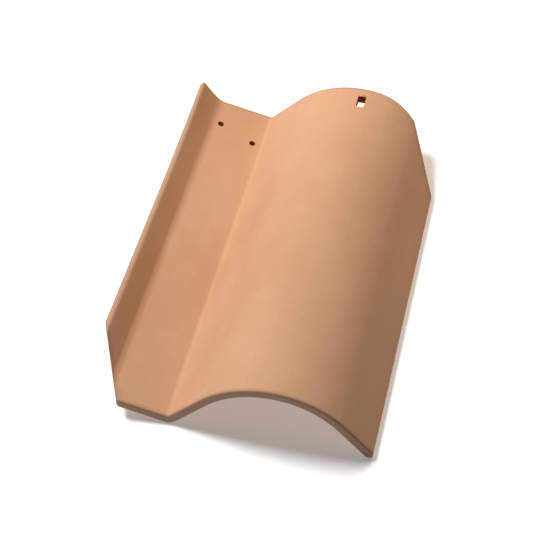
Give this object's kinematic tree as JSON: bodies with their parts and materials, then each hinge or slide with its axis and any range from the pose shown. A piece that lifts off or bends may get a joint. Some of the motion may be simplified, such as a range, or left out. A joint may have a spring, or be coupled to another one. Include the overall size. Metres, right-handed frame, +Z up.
{
  "type": "spanish s roof tile",
  "caption": "S-shaped clay roof tile: a flat water pan with an upturned lip beside a raised barrel, with nail holes, a tie slot and opposite corners cut off for lapping.",
  "frame": {"origin": "On the table under the middle of the tile's outline, with the tile lying on the fold between pan and barrel and on the barrel's free edge.", "axes": "+X across the tile towards the barrel's free edge, +Y along the tile towards its head, +Z up."},
  "size_m": [0.2821, 0.457, 0.0688],
  "materials": {
    "fired_clay": "unglazed buff-orange terracotta, matte and smooth, with faint mottling and faint lengthwise drawing marks"
  },
  "bodies": {
    "root": {"roof_tile": "fired_clay"}
  },
  "joints": []
}
